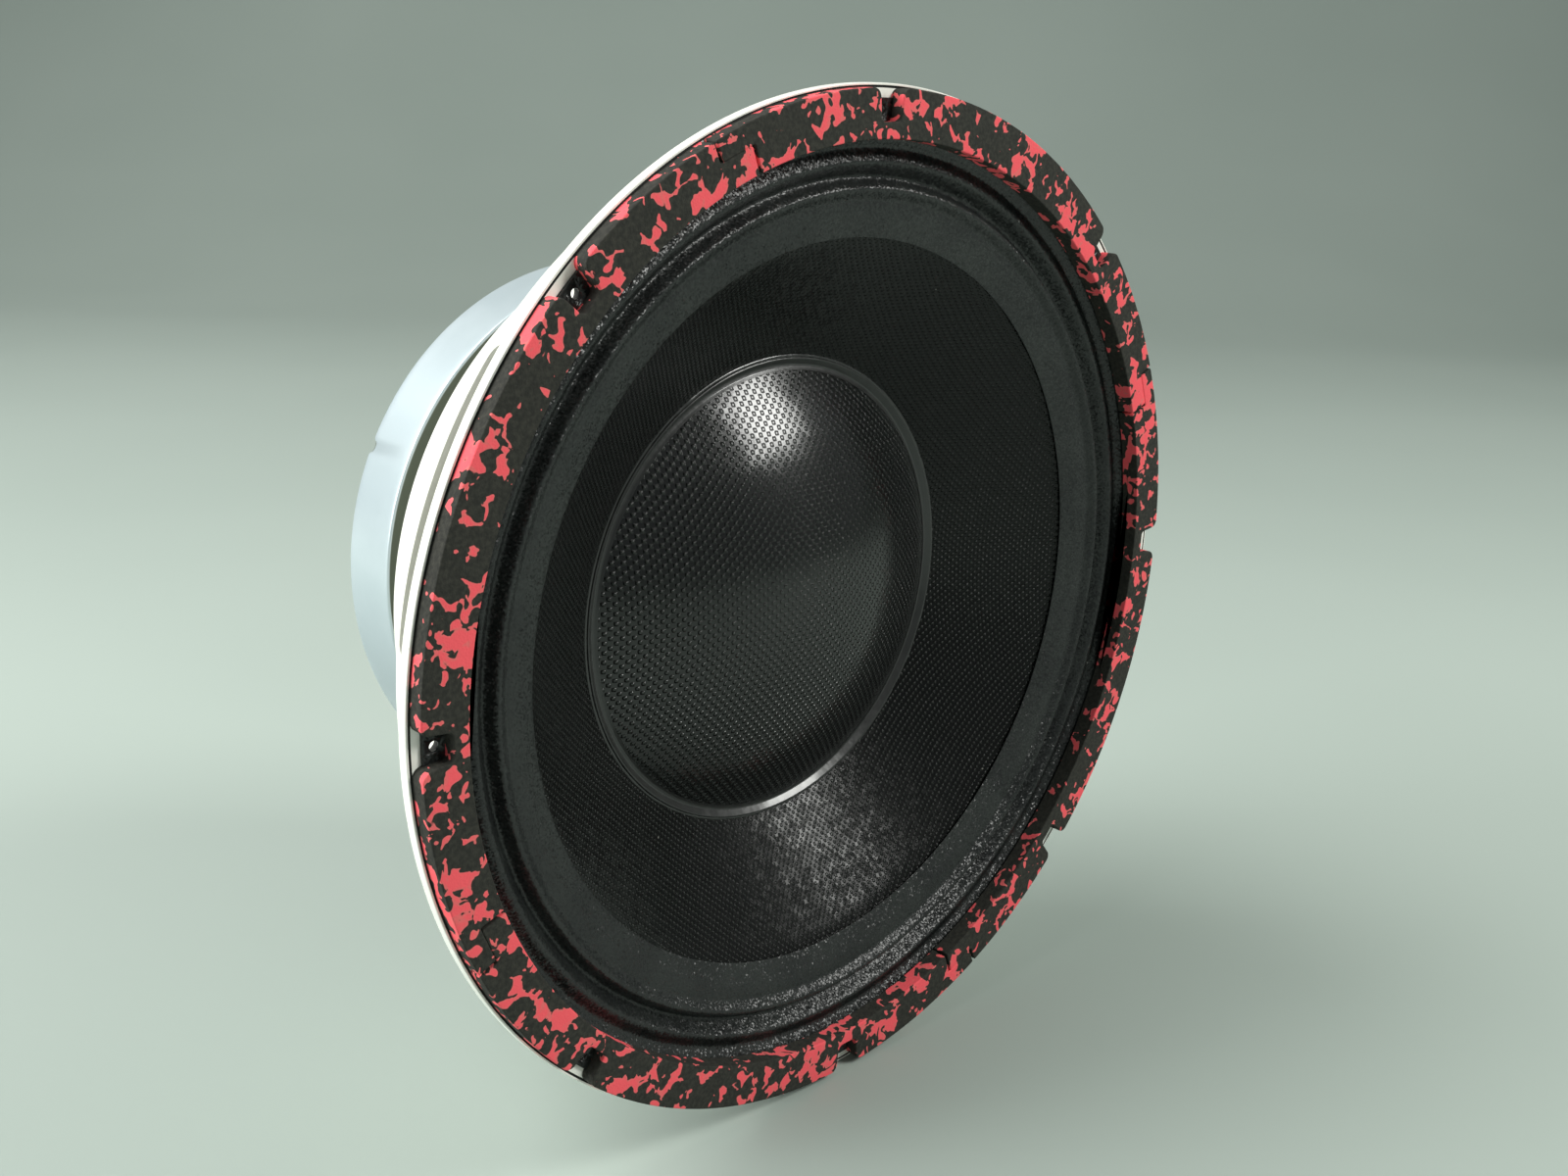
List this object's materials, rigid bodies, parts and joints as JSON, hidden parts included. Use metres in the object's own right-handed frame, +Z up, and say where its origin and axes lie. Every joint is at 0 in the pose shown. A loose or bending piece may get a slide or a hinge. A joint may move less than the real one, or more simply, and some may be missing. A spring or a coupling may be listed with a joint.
{
  "type": "car subwoofer driver",
  "caption": "Round loudspeaker driver with a woven cone and dome, double-roll cloth surround, mottled foam gasket, slotted basket and ring magnet, for bolting into a baffle.",
  "frame": {"origin": "centre of the bolt circle on the rear face of the rim, the face that seats on a baffle", "axes": "the driver's axis lies along Y with the cone facing -Y, +Z is up, and one bolt hole lies on +X"},
  "size_m": [0.313, 0.15, 0.313],
  "materials": {
    "white_enamel": "smooth cream-white stoved enamel on cast aluminium",
    "mottled_foam": "closed-cell foam, charcoal with irregular coral-red blotches",
    "treated_cloth": "black cotton cloth with a semi-gloss sealed grain",
    "woven_cone": "black woven glass-fibre cloth in resin, fine weave, satin gloss",
    "woven_dome": "black woven fibre cloth in glossy resin, dotted weave",
    "spider_cloth": "resin-dipped cotton, tan, fine open weave",
    "silver_paint": "satin blue-silver paint on ferrite",
    "plated_steel": "zinc-plated steel, fine turned marks",
    "dark_mesh": "black perforated steel",
    "black_screw": "black oxide",
    "bright_screw": "zinc-plated",
    "black_plastic": "fine spark texture",
    "button_black": "satin moulded",
    "button_red": "satin moulded",
    "brass": "bright nickel-free brass",
    "spring_steel": "bright drawn wire",
    "tinsel_braid": "flat silver-plated braid",
    "former_film": "amber high-temperature film",
    "copper_wire": "enamelled copper wire, close wound",
    "copper_strip": "bare copper strip"
  },
  "bodies": {
    "root": {"frame_basket": "white_enamel", "gasket_segment_1": "mottled_foam", "gasket_segment_2": "mottled_foam", "gasket_segment_3": "mottled_foam", "gasket_segment_4": "mottled_foam", "surround": "treated_cloth", "spider": "spider_cloth", "top_plate": "plated_steel", "magnet_ring": "silver_paint", "yoke": "plated_steel", "pole_vent_screen": "dark_mesh", "motor_screws": "black_screw", "terminal_housing": "black_plastic", "terminal_screws": "bright_screw", "terminal_contact_negative": "brass", "terminal_contact_positive": "brass", "terminal_spring_negative": "spring_steel", "terminal_spring_positive": "spring_steel", "tinsel_lead_negative": "tinsel_braid", "tinsel_lead_positive": "tinsel_braid"},
    "cone_assembly": {"cone": "woven_cone", "dust_cap": "woven_dome", "voice_coil_former": "former_film", "voice_coil_winding": "copper_wire", "coil_leadouts": "copper_strip"},
    "button_negative": {"terminal_button_negative": "button_black"},
    "button_positive": {"terminal_button_positive": "button_red"}
  },
  "joints": [
    {"name": "cone_excursion", "type": "slide", "parent": "root", "child": "cone_assembly", "axis": [0, -1, 0], "range_m": [-0.008, 0.008], "stiffness_N_per_m": 6000, "deforming": ["surround", "spider", "tinsel_lead_negative", "tinsel_lead_positive"]},
    {"name": "negative_terminal_press", "type": "slide", "parent": "root", "child": "button_negative", "axis": [-1, 0, 0], "range_m": [0, 0.003], "stiffness_N_per_m": 400, "springref_m": -0.002, "deforming": ["terminal_spring_negative"]},
    {"name": "positive_terminal_press", "type": "slide", "parent": "root", "child": "button_positive", "axis": [-1, 0, 0], "range_m": [0, 0.003], "stiffness_N_per_m": 400, "springref_m": -0.002, "deforming": ["terminal_spring_positive"]}
  ]
}
